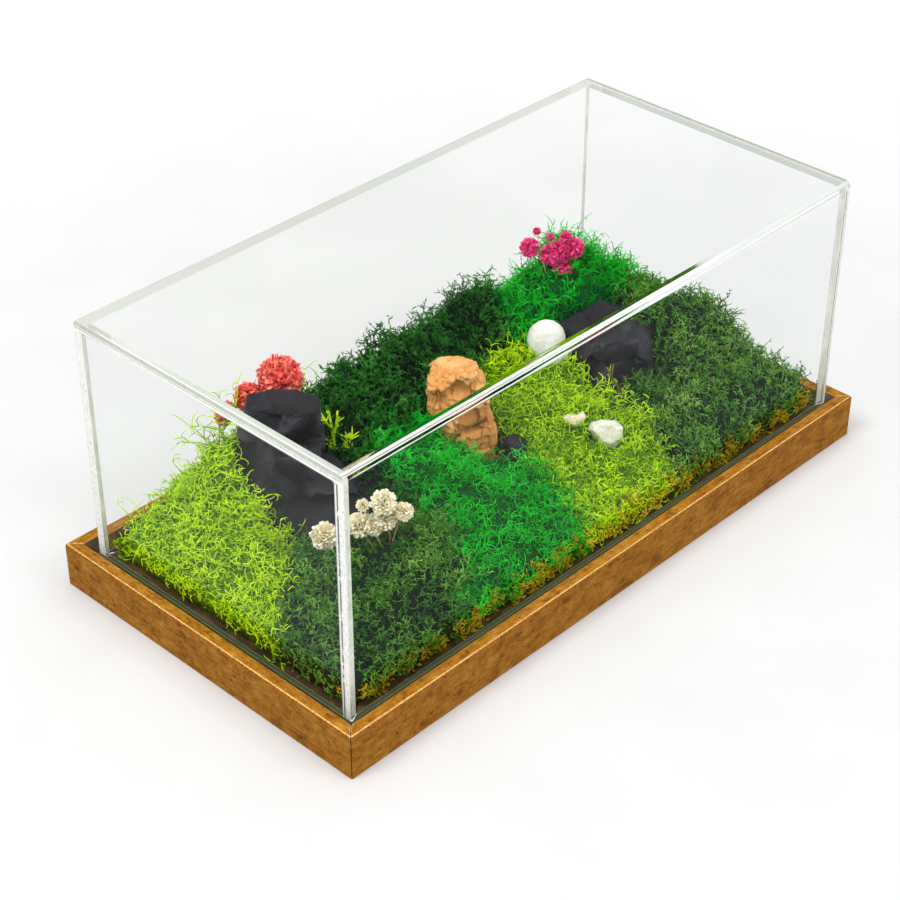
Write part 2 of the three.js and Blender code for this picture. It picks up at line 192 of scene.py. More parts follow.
def gilded(name, along):
    """Gilt thinned by wear over a brown ground: mottled, with dark wisps and scratches."""
    f = Finish(name)

    def run(length):
        return (length, 1, 1) if along == "x" else (1, length, 1)

    clouds = f.cloud(6, 6, 0.75)
    smears = f.cloud(2.0, 5, 0.75, stretch=run(3))
    hairs = f.cloud(0.3, 3, 0.7, stretch=run(20))
    dust = f.cloud(0.5, 3, 0.7)
    wisps = f.band(f.cloud(1.3, 6, 0.78, stretch=run(2.0)), 0.60, 0.69)
    scars = f.band(f.cloud(0.5, 2, 0.5, stretch=run(11)), 0.64, 0.72)
    specks = f.band(f.cells(6, stretch=run(1.3)), 0.03, 0.11)
    tone = clouds * 0.42 + smears * 0.4 + hairs * 0.28 + dust * 0.26 - 0.18
    colour = f.ramp(
        tone, (0.36, "5a3006"), (0.44, "945a10"), (0.50, "bc7a1c"), (0.56, "d29232"),
        (0.66, "eeba5c"),
    )
    colour = f.mix(wisps * 0.62, colour, ink("4a2a08"))
    colour = f.mix(scars * 0.5, colour, ink("50300c"))
    colour = f.mix((1 - specks) * 0.8, colour, ink("241306"))
    metal = f.band(tone, 0.38, 0.62) * 0.35 + 0.25
    rough = 0.42 - hairs * 0.2 + scars * 0.2 + wisps * 0.2 + clouds * 0.1
    height = smears * 0.5 + hairs * 0.4 + specks * 0.5 - wisps * 0.35 - scars * 0.3
    return f.coat(colour, rough, height, 0.25, Metallic=metal, Specular_IOR_Level=0.25)


POLISH_HIGHLIGHT_HEIGHT = 18.28  # how high the bright line on the lip runs: polished wear and a painted highlight


def polish_and_highlight_finish():
    """The outer edge of the lip, with a thin bright line: polished wear and a painted highlight."""
    f = Finish("gilt_polish_and_painted_highlight")
    wear = f.cloud(0.9, 4, 0.7)
    line = f.stripe(f.axis("Z"), POLISH_HIGHLIGHT_HEIGHT, 0.05, 0.14)
    plain = f.ramp(wear, (0.34, "704008"), (0.5, "a06414"), (0.66, "c48428"))
    # Pale gold for the line: polished wear and a painted highlight.
    polish_and_highlight_colour = f.ramp(wear, (0.34, "d09038"), (0.5, "f0bc64"), (0.66, "ffdf9c"))
    return f.coat(f.mix(line, plain, polish_and_highlight_colour), 0.3 + wear * 0.2, wear, 0.1, Metallic=0.35)


def ledge_finish():
    """The step inside the lip, dark, with a painted olive reflection of the moss along the track
    where the cover stands.
    """
    f = Finish("dark_ledge")
    wear = f.cloud(1.2, 5, 0.7)
    wide = f.cloud(7, 3)
    colour = f.ramp(
        wear * 0.5 + wide * 0.5, (0.36, "1c1206"), (0.48, "3a270b"), (0.6, "5a4214"),
        (0.75, "7d6026"),
    )
    beside = f.sum("ABSOLUTE", f.axis("Y") - (FRONT + BACK) / 2) - (BACK - FRONT) / 2
    outside = f.sum("MAXIMUM", f.sum("ABSOLUTE", f.axis("X")) - COVER_X, beside)
    painted_moss_reflection = f.stripe(outside, -SHEET / 2, SHEET / 2, 0.3)
    # Olive under the cover's foot: painted reflection of the moss in the foot.
    colour = f.mix(painted_moss_reflection * 0.8, colour, ink("66744e"))
    return f.coat(colour, 0.4 + wear * 0.3, wear, 0.2)


def hardboard_finish():
    f = Finish("hardboard")
    fibres = f.cloud(0.8, 5, 0.7)
    colour = f.ramp(fibres, (0.3, "3f2c1c"), (0.7, "6d5138"))
    return f.coat(colour, 0.85, fibres, 0.3)


def bed_finish():
    f = Finish("moss_bed")
    pores = f.cells(1.1)
    colour = f.ramp(f.cloud(4, 4), (0.3, "0d1408"), (0.7, "22301a"))
    return f.coat(colour, 0.95, pores, 0.5)


MOST_MIRRORINGS = 1.5  # light mirrored inside a sheet more often than this comes out scattered
ACRYLIC_IOR = 1.49


def clear_sheet(name, tint, shine, milk):
    """Polished acrylic, with less glare than bare acrylic has face on. Shadow and bounce rays pass
    straight through, so lamps reach the moss. Light trapped inside is scattered by a share of
    milk and let out by the rest."""
    f = Finish(name)
    fresnel = f.put("Fresnel", {"IOR": ACRYLIC_IOR})
    bent = f.put("BsdfRefraction", {"Color": tint, "Roughness": 0.0, "IOR": ACRYLIC_IOR})
    gloss = f.put("BsdfAnisotropic", {"Color": grey(1), "Roughness": 0.0})
    overhead = f.band(f.axis("Z"), TOP - SHEET - 1, TOP - SHEET)
    glare = f.band(fresnel, 0.16, 1.0) + fresnel * (1 - overhead * 0.6) * shine
    glass = f.blend(glare, bent, gloss)
    trapped = f.sum("GREATER_THAN", f.put("LightPath", out="Glossy Depth"), MOST_MIRRORINGS)
    scattered = f.put("BsdfDiffuse", {"Color": (0.86, 0.87, 0.85, 1)})
    glass = f.blend(trapped * milk, glass, scattered)
    spent = f.put("BsdfTransparent", {"Color": grey(1)})
    glass = f.blend(trapped * (1 - milk), glass, spent)
    passing = f.sum("MAXIMUM", f.ray("Shadow"), f.ray("Diffuse"))
    through = f.put("BsdfTransparent", {"Color": (0.98, 0.985, 0.98, 1)})
    return f.finish_with(f.blend(passing, glass, through))


def edge_shader(f, colour, marks, clear):
    """A dull edge of the sheet that scatters light and lets the shadow rays of lamps through."""
    edge = f.paint(colour, 0.3 + marks * 0.2, marks, 0.12, IOR=ACRYLIC_IOR,
                   Specular_IOR_Level=0.25, Transmission_Weight=clear)
    through = f.put("BsdfTransparent", {"Color": (0.9, 0.92, 0.9, 1)})
    return f.finish_with(f.blend(f.ray("Shadow"), edge, through))


def glued_edge():
    """The cut edge of an end panel: saw marks that scatter light."""
    f = Finish("glued_edge")
    marks = f.cloud(0.45, 4, 0.7, stretch=(1, 1, 5))
    dots = f.cloud(0.8, 2, 0.5)
    grain = marks * 0.6 + f.cloud(9, 3, 0.5) * 0.4
    colour = f.ramp(grain, (0.36, "c3c6ba"), (0.5, "e2e4da"), (0.64, "f8f8f2"))
    colour = f.mix(f.band(dots, 0.62, 0.72) * 0.5, colour, ink("80847a"))
    return edge_shader(f, colour, marks, 0.2)


def cut_end():
    """The cut ends of the bent sheet: bright, with a broken dark line of cement down the uprights
    and a grey core along the top."""
    f = Finish("sawn_edge")
    marks = f.cloud(0.45, 4, 0.7, stretch=(1, 1, 4))
    dots = f.cloud(0.8, 2, 0.5)
    breaks = f.cloud(1.6, 3, 0.6, stretch=(1, 1, 2))
    y, z = f.axis("Y"), f.axis("Z")
    colour = f.ramp(marks, (0.34, "d6d8cf"), (0.5, "f0f0ea"), (0.66, "fdfdfa"))
    upright = 1 - f.band(z, TOP - SHEET - 1, TOP - SHEET)
    line = f.stripe(y, FRONT + SHEET - 1.0, 0.26) * upright * f.band(breaks, 0.34, 0.46)
    core = f.stripe(z, TOP - 1.3, 0.8) * (1 - upright)
    rim = f.stripe(z, TOP - SHEET + 1.2, 0.12) * (1 - upright)
    colour = f.mix(core * 0.75, colour, ink("a9ada0"))
    colour = f.mix(f.band(dots, 0.60, 0.70) * 0.55, colour, ink("767a70"))
    colour = f.mix(line * 0.9 + rim * 0.5, colour, ink("3c3f38"))
    return edge_shader(f, colour, marks, 0.15)


def bend_painted_light():
    """The tight front bend, painted as a pale bar where the bright backdrop shows through it (a
    painted highlight), with a thin painted shadow line inside it.
    """
    f = Finish("bend_painted_highlight")
    marks = f.cloud(0.5, 4, 0.7, stretch=(14, 1, 1))
    x = f.axis("X")
    across = f.axis("Y") - FRONT + f.axis("Z") - TOP
    # The pale bar: painted highlight of the bright backdrop seen through the bend.
    colour = f.ramp(marks, (0.34, "dfe4dc"), (0.5, "f6f8f4"), (0.66, "ffffff"))
    near = 1 - f.band(x, -70.0, 10.0)
    colour = f.mix(f.band(x, 20.0, 70.0) * 0.8, colour, ink("c9cdc7"))
    # A thin dark line along the left part: painted shadow.
    colour = f.mix(f.stripe(across, -0.1, 0.2, 0.2) * near * 0.75, colour, ink("5c6156"))
    # Beige low on the left: painted reflection of the cream flower heads.
    low = (1 - f.band(across, -1.6, -0.3)) * (1 - f.band(x, -118.0, -60.0))
    colour = f.mix(low * 0.5, colour, ink("c8bd9c"))
    return edge_shader(f, colour, marks, 0.25)


def moss_finish(name, *codes):
    """Dyed moss: dark at the roots, paler at the tips, and no two tufts the same."""
    f = Finish(name)
    tone = f.own("tone")
    patch = f.cloud(7, 3)
    fleck = f.cloud(0.7, 2)
    value = tone + (patch - 0.5) * 0.45 + (fleck - 0.5) * 0.25
    colour = f.ramp(value, *((i / (len(codes) - 1), code) for i, code in enumerate(codes)))
    return f.coat(colour, 0.7 + fleck * 0.25, fleck, 0.08, Specular_IOR_Level=0.04)


def ground_finish(name, dark, light):
    f = Finish(name)
    fuzz = f.cloud(1.3, 5, 0.7)
    colour = f.ramp(fuzz, (0.35, dark), (0.65, light))
    return f.coat(colour, 0.95, fuzz, 0.6, Specular_IOR_Level=0.05)


def black_rock_finish():
    f = Finish("black_rock")
    clouds = f.cloud(8, 5, 0.6)
    grit = f.cloud(0.5, 4, 0.7)
    hollow_shade = f.own("tone")
    # Darker in pits and sunken chips, from the tone the mesh carries: painted shade.
    colour = f.ramp(
        clouds * 0.5 + grit * 0.3 + hollow_shade * 0.35 - 0.08,
        (0.3, "121115"), (0.5, "28272d"), (0.7, "43424b"), (0.9, "676570"),
    )
    # Upward faces darkened towards near-black: painted shade on the rock's top.
    top_painted_shade = f.band(f.axis("Z", f.put("NewGeometry", out="Normal")), 0.1, 0.8)
    colour = f.mix(top_painted_shade * 0.75, colour, ink("0b0b0c"))
    height = grit * 0.2 + clouds * 1.5
    return f.coat(colour, 0.55 + grit * 0.2, height, 0.35, Specular_IOR_Level=0.2)


def brown_stone_finish():
    f = Finish("brown_stone")
    beds = f.cloud(5, 5, 0.6, stretch=(3, 3, 1))
    streaks = f.cloud(1.1, 5, 0.65, stretch=(1, 1, 4))
    grit = f.cloud(0.4, 3, 0.7)
    hollow_shade = f.own("tone")
    high = f.band(f.axis("Z"), 28, 42)
    # Darker in the cracks and the notch, from the tone the mesh carries: painted shade.
    colour = f.ramp(
        beds * 0.4 + streaks * 0.35 + grit * 0.25 + hollow_shade * 0.5 + high * 0.08 - 0.24,
        (0.12, "42200c"), (0.3, "a86c34"), (0.44, "dc9c58"), (0.6, "f0a45c"), (0.8, "fbc482"),
    )
    height = streaks * 1.4 + grit * 0.6 + beds
    return f.coat(colour, 0.75 + grit * 0.15, height, 0.6, Specular_IOR_Level=0.1)


def pebble_finish():
    f = Finish("white_pebble")
    veins = f.cloud(6, 5, 0.6)
    line = f.band(f.sum("ABSOLUTE", veins - 0.5), 0.0, 0.035)
    fine = f.cloud(0.7, 3)
    colour = f.ramp(f.cloud(9, 3), (0.35, "d2cfc8"), (0.6, "e6e4df"))
    colour = f.mix((1 - line) * 0.35, colour, ink("b9b2a4"))
    return f.coat(colour, 0.3 + fine * 0.15, fine, 0.1, Subsurface_Weight=0.15,
                  Subsurface_Radius=(0.004, 0.004, 0.003), Subsurface_Scale=0.5)


def quartz_finish(name, deep, middle, pale):
    f = Finish(name)
    veils = f.cloud(3, 5, 0.65)
    cracks = f.band(f.cells(3.2, "DISTANCE_TO_EDGE"), 0.0, 0.06)
    colour = f.ramp(veils, (0.3, deep), (0.5, middle), (0.7, pale))
    colour = f.mix((1 - cracks) * 0.4, colour, ink("fffdf6"))
    return f.coat(colour, 0.12 + veils * 0.25, veils, 0.3, IOR=1.54, Transmission_Weight=0.2,
                  Subsurface_Weight=0.3, Subsurface_Radius=(0.006, 0.005, 0.003),
                  Subsurface_Scale=0.6)


def petal_finish(name, deep, middle, pale):
    f = Finish(name)
    tone = f.own("tone")
    fibre = f.cloud(0.5, 3)
    colour = f.ramp(
        tone + (f.cloud(2.2, 2) - 0.5) * 0.5 + (fibre - 0.5) * 0.2,
        (0.05, deep), (0.45, middle), (0.95, pale),
    )
    return f.coat(colour, 0.7 + fibre * 0.15, fibre, 0.1, Specular_IOR_Level=0.25)


def stem_finish(name, dark, light):
    f = Finish(name)
    fibre = f.cloud(0.4, 3, stretch=(1, 1, 6))
    colour = f.ramp(f.cloud(3, 3) * 0.6 + fibre * 0.4, (0.35, dark), (0.65, light))
    return f.coat(colour, 0.7, fibre, 0.1)


# ---------- mesh making ----------


def unit(v):
    return v / np.maximum(np.linalg.norm(v, axis=-1, keepdims=True), 1e-9)


def directions(lift, turn):
    """Unit vectors that rise by lift and are turned about z."""
    flat = np.sqrt(1 - lift**2)
    return np.stack([flat * np.cos(turn), flat * np.sin(turn), lift], axis=1)


def set_tone(me, values):
    tone = me.attributes.new("tone", "FLOAT", "POINT")
    tone.data.foreach_set("value", values.astype(np.float32))


class Heap:
    """Collects parts of one mesh: points, faces with their finish, and a tone for each point."""

    def __init__(self):
        self.points, self.tones, self.corners, self.sizes, self.slots = ([] for _ in range(5))
        self.count = 0

    def add(self, points, faces, tones, slot=0):
        """faces holds arrays with a row of point numbers for each face."""
        points = points.reshape(-1, 3)
        self.points.append(points)
        self.tones.append(np.broadcast_to(tones, (len(points),)))
        for rows in faces:
            self.corners.append((rows + self.count).ravel())
            self.sizes.append(np.full(len(rows), rows.shape[1]))
            self.slots.append(np.full(len(rows), slot))
        self.count += len(points)

    def mesh(self, name):
        points = np.concatenate(self.points) * MM
        corners, sizes = np.concatenate(self.corners), np.concatenate(self.sizes)
        me = bpy.data.meshes.new(name)
        me.vertices.add(len(points))
        me.vertices.foreach_set("co", points.astype(np.float32).ravel())
        me.loops.add(len(corners))
        me.loops.foreach_set("vertex_index", corners.astype(np.int32))
        me.polygons.add(len(sizes))
        starts = np.concatenate([[0], np.cumsum(sizes)[:-1]])
        me.polygons.foreach_set("loop_start", starts.astype(np.int32))
        me.polygons.foreach_set("material_index", np.concatenate(self.slots).astype(np.int32))
        me.polygons.foreach_set("use_smooth", np.ones(len(sizes), bool))
        me.update(calc_edges=True)
        set_tone(me, np.concatenate(self.tones))
        return me


def added(name, data):
    """A new object in the scene."""
    thing = bpy.data.objects.new(name, data)
    SCENE.collection.objects.link(thing)
    return thing


def show(node, ending, me, finishes, slot):
    """Makes a mesh the piece that stands for a CAD node."""
    for finish in finishes:
        me.materials.append(finish)
    piece = added(f"{node}_{ending}", me)
    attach(piece, "root")
    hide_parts(node)
    return piece


def opened(node):
    """A node's mesh to edit, with its doubled points joined."""
    bm = bmesh.new()
    bm.from_mesh(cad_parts[node].data)
    bmesh.ops.remove_doubles(bm, verts=bm.verts, dist=1e-6)
    return bm


def ease(bm, edges, width, segments):
    """Breaks edges by a width in millimetres."""
    bmesh.ops.bevel(bm, geom=edges, offset=width * MM, segments=segments, profile=0.5,
                    affect="EDGES", clamp_overlap=True)


def closed(bm, name):
    """The edited mesh."""
    me = bpy.data.meshes.new(name)
    bm.to_mesh(me)
    bm.free()
    return me


def flat_faced(piece):
    """Smooth shading over eased edges and bends that leaves the large faces flat."""
    piece.data.polygons.foreach_set("use_smooth", np.ones(len(piece.data.polygons), bool))
    step = piece.modifiers.new("flat faces", "WEIGHTED_NORMAL")
    step.mode, step.weight = "FACE_AREA", 100


def cad_mesh(node):
    """A node's points in millimetres and its triangles."""
    bm = opened(node)
    bmesh.ops.triangulate(bm, faces=bm.faces)
    points = np.array([v.co for v in bm.verts]) / MM
    faces = np.array([[v.index for v in f.verts] for f in bm.faces])
    bm.free()
    return points, faces


def grid(rows, columns, count, size, looped=False):
    """The faces between rows of points, for count copies whose points number size."""
    this = np.arange(columns - 1 + looped)
    after = (this + 1) % columns
    low = np.arange(rows - 1)[:, None] * columns
    high = low + columns
    quads = np.stack([low + this, low + after, high + after, high + this], axis=-1)
    return (quads.reshape(1, -1, 4) + (np.arange(count) * size)[:, None, None]).reshape(-1, 4)


def add_tubes(heap, paths, radii, tones, sides=3, slot=0):
    """Tapering tubes along paths of equal point counts, each ending in a point."""
    count, steps, _ = paths.shape
    along = unit(np.gradient(paths, axis=1))
    mean = unit(along.mean(axis=1))
    least = np.eye(3)[np.abs(mean).argmin(axis=1)][:, None]
    across = unit(np.cross(along, least))
    up = np.cross(across, along)
    turn = np.arange(sides) * 2 * math.pi / sides
    around = np.cos(turn)[:, None] * across[:, :-1, None] + np.sin(turn)[:, None] * up[:, :-1, None]
    rings = paths[:, :-1, None] + radii[:, :-1, None, None] * around
    points = np.concatenate([rings.reshape(count, -1, 3), paths[:, -1:]], axis=1)
    shades = np.concatenate([np.repeat(tones[:, :-1], sides, axis=1), tones[:, -1:]], axis=1)
    size = points.shape[1]
    quads = grid(steps - 1, sides, count, size, looped=True)
    last = size - 1 - sides + np.arange(sides)
    ends = np.stack([last, np.roll(last, -1), np.full(sides, size - 1)], axis=-1)
    ends = (ends[None] + (np.arange(count) * size)[:, None, None]).reshape(-1, 3)
    heap.add(points, [quads, ends], shades.ravel(), slot)


# ---------- moss ----------

# How a tuft branches: its stems and the radius at their very ends, then for each round of forking
# how many forks, how long a branch is, its radius, its bends, how far forks part and how hard it
# curls.
HABITS = {
    "lime": (9, 0.15, [
        (1, 3.2, 0.29, 3, 0.0, 0.45), (2, 3.6, 0.26, 4, 0.42, 0.65), (2, 3.0, 0.23, 4, 0.50, 0.85),
    ]),
    "emerald": (8, 0.11, [
        (1, 3.4, 0.25, 3, 0.0, 0.50), (2, 4.2, 0.22, 4, 0.50, 0.85), (2, 4.0, 0.19, 5, 0.55, 1.10),
    ]),
    "forest": (7, 0.15, [
        (1, 2.8, 0.27, 2, 0.0, 0.35), (2, 2.6, 0.25, 3, 0.60, 0.55), (2, 2.3, 0.23, 3, 0.65, 0.70),
        (2, 1.6, 0.21, 2, 0.70, 0.60),
    ]),
}
TUFT_KINDS = 14  # how many different tufts a clump is grown from


def grow_tuft(habit, rng, stretch=1.0, stems=None):
    """One tuft growing up from the origin: for each round of forking (paths, radii, tones)."""
    count, tip, rounds = HABITS[habit]
    count = stems or count
    turn = (np.arange(count) + rng.uniform(0, 1)) * GOLDEN_ANGLE
    lift = 1 - (np.arange(count) + 0.5) / count * 0.85
    heading = directions(lift, turn)
    heading = unit(heading + rng.normal(0, 0.15, heading.shape))
    start = heading * 0.3
    parts = []
    for level, (forks, reach, thick, steps, spread, curl) in enumerate(rounds):
        if level:
            start = np.repeat(start - heading * 0.05, forks, axis=0)
            side = unit(np.cross(heading, unit(rng.normal(0, 1, heading.shape))))
            other = np.cross(heading, side)
            turns = [2 * math.pi * k / forks for k in range(forks)]
            ways = [side * math.cos(turn) + other * math.sin(turn) for turn in turns]
            side = np.stack(ways, axis=1).reshape(-1, 3)
            heading = np.repeat(heading, forks, axis=0)
            heading = unit(heading + side * spread * rng.uniform(0.5, 1.3, (len(side), 1)))
        count = len(start)
        length = stretch * reach * rng.uniform(0.6, 1.4, (count, 1))
        axis = unit(rng.normal(0, 1, (count, 3)))
        bend = curl * 3 / steps * rng.uniform(0.3, 1.6, (count, 1))
        path = [start]
        for _ in range(steps):
            jog = rng.normal(0, 0.045, heading.shape)
            heading = unit(heading + bend * np.cross(axis, heading) + jog)
            path.append(path[-1] + heading * length / steps)
        last = level == len(rounds) - 1
        share = np.linspace(0, 1, steps + 1)
        end = tip if last else rounds[level + 1][2]
        radii = np.broadcast_to(thick + (end - thick) * share, (count, steps + 1))
        tone = np.broadcast_to((level + share) / len(rounds), radii.shape)
        parts.append((np.stack(path, axis=1), radii, tone))
        start = path[-1]
    return parts


def spots_on(points, faces, spacing, rng, lowest=0.0):
    """Places on a clump's skin that face up or out, at least spacing apart, and their normals."""
    a, b, c = (points[faces[:, i]] for i in range(3))
    normal = np.cross(b - a, c - a)
    area = np.linalg.norm(normal, axis=1) / 2
    normal = unit(normal)
    area = area * (normal[:, 2] > lowest)
    tries = int(area.sum() / spacing**2 * 14) + 40
    pick = rng.choice(len(faces), tries, p=area / area.sum())
    u, v = rng.uniform(0, 1, (2, tries, 1))
    fold = (u + v) > 1
    u, v = np.where(fold, 1 - u, u), np.where(fold, 1 - v, v)
    spot = a[pick] + u * (b - a)[pick] + v * (c - a)[pick]
    kept, cells = [], {}
    for i, p in enumerate(spot):
        x, y, z = (int(n) for n in p // spacing)
        around = product((x - 1, x, x + 1), (y - 1, y, y + 1), (z - 1, z, z + 1))
        near = (j for cell in around for j in cells.get(cell, ()))
        if all(((spot[j] - p) ** 2).sum() >= spacing**2 for j in near):
            kept.append(i)
            cells.setdefault((x, y, z), []).append(i)
    return spot[kept], normal[pick[kept]]


def frames(up, rng):
    """Turning matrices that stand a tuft along each direction, spun at random."""
    up = unit(up)
    other = unit(rng.normal(0, 1, up.shape))
    x = unit(np.cross(other, up))
    y = np.cross(up, x)
    return np.stack([x, y, up], axis=2)


INSIDE = np.array([[-127.8, -62.9, 15.9], [127.8, 60.4, 110.0]])  # where strands can reach

# Each clump: the spacing of its tufts, their size, how high its cushions stand, and how much
# paler or darker than its dye it is. The second word of its name is its habit.
CLUMPS = {
    "moss_lime_left": (3.7, 0.95, 4.6, 0.0),
    "moss_lime_back": (3.7, 0.95, 3.0, 0.0),
    "moss_lime_middle": (3.7, 0.9, 4.2, -0.1),
    "moss_emerald_front": (4.2, 0.9, 3.6, -0.04),
    "moss_emerald_ridge": (4.2, 0.85, 3.0, 0.04),
    "moss_emerald_back": (4.3, 1.05, 4.0, 0.0),
    "moss_forest_front_left": (3.9, 1.0, 4.2, 0.12),
    "moss_forest_back_left": (4.1, 1.05, 5.0, 0.0),
    "moss_forest_back_right": (4.1, 1.05, 5.0, 0.0),
    "moss_forest_right_front": (3.9, 1.0, 4.2, 0.14),
    "moss_forest_right_back": (4.0, 1.05, 4.4, 0.1),
}
PINE = ("moss_forest_back_left", "moss_forest_back_right")
CUSHION = 14.0  # a clump is made of rounded cushions about this wide
ROOT_DEPTH = 1.8  # how deep in its clump a tuft is rooted

# Longer fronds that stand out of a clump: where each is rooted and its size.
FRONDS = {
    "moss_lime_back": [
        (-86, 40, 44, 1.4), (-83, 44, 48, 1.5), (-80, 50, 52, 1.3), (-83, 49, 54, 1.2),
        (-87, 48, 46, 1.4), (-51, 51, 46, 1.3), (-48, 50, 47, 1.1), (-88, 52, 44, 1.3),
    ],
    "moss_lime_middle": [
        (33, 20, 32, 1.3), (41, 21, 32, 1.3), (60, -6, 26, 1.3), (61, -5, 29, 1.1),
        (57, -22, 22, 1.2), (28, 18, 31, 1.1),
    ],
}

# Where the moss stays short before a flower head or a crystal: the middle and how far around.
PARTED = np.array([
    (80, 29, 50, 9), (84, 32, 44, 8), (31, -35, 28, 6), (36, -38, 26, 5), (27, -23, 34, 5.5),
    (-86, -24, 36, 6), (-79, -30, 40, 7), (-75, 44, 50, 8), (-82, 48, 50, 5), (-66, 40, 50, 8),
], float)
PARTED_SIZE = 0.45  # how large tufts are there, as a share of the others

# The fringe of short dry moss along the front wall: where it stands and how far apart its tufts.
FRINGE_Y, FRINGE_Z, FRINGE_SPACING = (-60.5, -56), (16.5, 22), 0.8
FRINGE_TONE = {"lime": 0.2, "emerald": 0.02, "forest": -0.06}

# Each dye: the moss from its roots to its tips, and the ground between the tufts.
DYES = {
    "lime": (("3f6402", "80b402", "b2e004", "ccf20c", "e4ff3a"), ("2c4a02", "6c9c06")),
    "emerald": (("013c08", "04800e", "0ab41c", "22d634", "5cf05c"), ("02230c", "076022")),
    "forest": (("062004", "14440c", "326a1a", "56922e", "8cbc54"), ("030d05", "102c14")),
    "pine": (("010d02", "083406", "1a5c12", "3a8a28", "78c054"), ("020903", "0a220c")),
}
moss_inks = {dye: moss_finish("moss_" + dye, *inks) for dye, (inks, _) in DYES.items()}
ground_inks = {dye: ground_finish("ground_" + dye, *inks) for dye, (_, inks) in DYES.items()}
dry_moss = moss_finish("moss_dry", "543e04", "90720a", "ba9a12", "d0bc24", "e6de50")


def plant_tufts(heap, tufts, spots, up, scales, shades, rng, slot=0):
    """Stands copies of the tufts on spots, kept inside the cover."""
    turns = frames(up, rng)
    kinds = rng.integers(0, len(tufts), len(spots))
    for kind, tuft in enumerate(tufts):
        mine = np.flatnonzero(kinds == kind)
        if not len(mine):
            continue
        for paths, radii, tones in tuft:
            grown = np.einsum("nij,skj->nski", turns[mine] * scales[mine, None, None], paths)
            grown = np.clip(grown + spots[mine][:, None, None], *INSIDE)
            count = len(mine) * len(paths)
            tone = tones[None] * 0.6 + 0.1 + shades[mine, None, None]
            add_tubes(heap, grown.reshape(count, -1, 3), np.tile(radii, (len(mine), 1)),
                      tone.reshape(count, -1), slot=slot)


def plant_fringe(heap, tufts, points, tone, rng):
    """Dry tufts where a clump comes down to the front wall."""
    low = (points[:, 1] < -60) & (points[:, 2] < 20)
    if not low.any():
        return
    left, right = points[low, 0].min(), points[low, 0].max()
    count = int((right - left) / FRINGE_SPACING)
    ranges = ((left, right), FRINGE_Y, FRINGE_Z)
    spots = np.stack([rng.uniform(*ends, count) for ends in ranges], axis=1)
    up = unit(rng.normal(0, 0.4, spots.shape) + [0, -0.8, 0.5])
    scales = rng.uniform(0.35, 0.6, count)
    plant_tufts(heap, tufts, spots, up, scales, rng.normal(tone, 0.12, count), rng, slot=2)


def plant_clump(node, seed):
    habit = node.split("_")[1]
    spacing, size, dome_height, paler = CLUMPS[node]
    rng = np.random.default_rng(seed)
    tufts = [grow_tuft(habit, rng) for _ in range(TUFT_KINDS)]
    tufts += [grow_tuft(habit, rng, 1.3, 3) for _ in range(2)]
    points, faces = cad_mesh(node)
    heap = Heap()
    shrunk = points + (points.mean(axis=0) - points) * [0.004, 0.004, 0.02]
    heap.add(shrunk, [faces], 0.1, slot=1)
    spots, normals = spots_on(points, faces, spacing, rng)
    parted = np.linalg.norm(spots[:, None] - PARTED[None, :, :3], axis=2) < PARTED[:, 3]
    parted = parted.any(axis=1)
    cushions, _ = spots_on(points, faces, CUSHION, rng, 0.3)
    away = spots[:, None] - cushions[None]
    reach = np.linalg.norm(away, axis=2)
    away = away[np.arange(len(spots)), reach.argmin(axis=1)]
    dome = 1 - np.clip(reach.min(axis=1) / (0.62 * CUSHION), 0, 1) ** 2
    up = unit(normals + [0, 0, 0.7] + away / CUSHION * 0.9)
    rise = np.where(parted, 0, dome - 0.45) * dome_height
    roots = spots - up * ROOT_DEPTH + up * rise[:, None]
    # Each tuft's tone: random, paler on cushion tops and darker between cushions (painted shade),
    # then shifted by the clump's paler value.
    shades = rng.normal(0, 0.07, len(spots)) + (dome - 0.5) * 0.3 + paler
    scales = size * rng.uniform(0.75, 1.25, len(spots)) * np.where(parted, PARTED_SIZE, 1)
    plant_tufts(heap, tufts, roots, up, scales, shades, rng)
    if node in FRONDS:
        fronds = np.array(FRONDS[node], float)
        tall = [grow_tuft(habit, rng, 1.5, 3) for _ in range(3)]
        up = unit(rng.normal(0, 0.18, (len(fronds), 3)) + [0, 0, 1])
        plant_tufts(heap, tall, fronds[:, :3], up, fronds[:, 3], np.full(len(fronds), 0.05), rng)
    plant_fringe(heap, tufts, points, FRINGE_TONE[habit], rng)
    dye = "pine" if node in PINE else habit
    finishes = [moss_inks[dye], ground_inks[dye], dry_moss]
    show(node, "tufts", heap.mesh(node), finishes, "moss_" + habit)


for seed, node in enumerate(CLUMPS):
    plant_clump(node, 100 + seed)

# ---------- stones ----------


def rough_stone(node, voxel, finish, slot, carve, seed):
    """Remeshes a stone evenly and moves each point outward by what carve gives for it."""
    copy = added(node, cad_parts[node].data.copy())
    step = copy.modifiers.new("remesh", "REMESH")
    step.mode, step.voxel_size, step.use_smooth_shade = "VOXEL", voxel * MM, True
    me = bpy.data.meshes.new_from_object(copy.evaluated_get(bpy.context.evaluated_depsgraph_get()))
    bpy.data.objects.remove(copy)
    points = np.array([v.co for v in me.vertices], np.float32) / MM
    normals = np.array([v.normal for v in me.vertices])
    rise, tone = carve(points.astype(float), normals, np.random.default_rng(seed))
    moved = points.astype(float) + normals * rise[:, None]
    me.vertices.foreach_set("co", (moved * MM).astype(np.float32).ravel())
    set_tone(me, np.clip(tone, 0, 1))
    me.materials.clear()
    me.update()
    show(node, "rough", me, [finish], slot)


def fractal(points, size, seed, octaves=4):
    """Noise in -1 to 1 at each point."""
    shift = Vector((seed * 7.3, seed * 3.1, -seed * 5.7))
    return np.array([noise.fractal(Vector(p) / size + shift, 0.8, 2.1, octaves) for p in points])


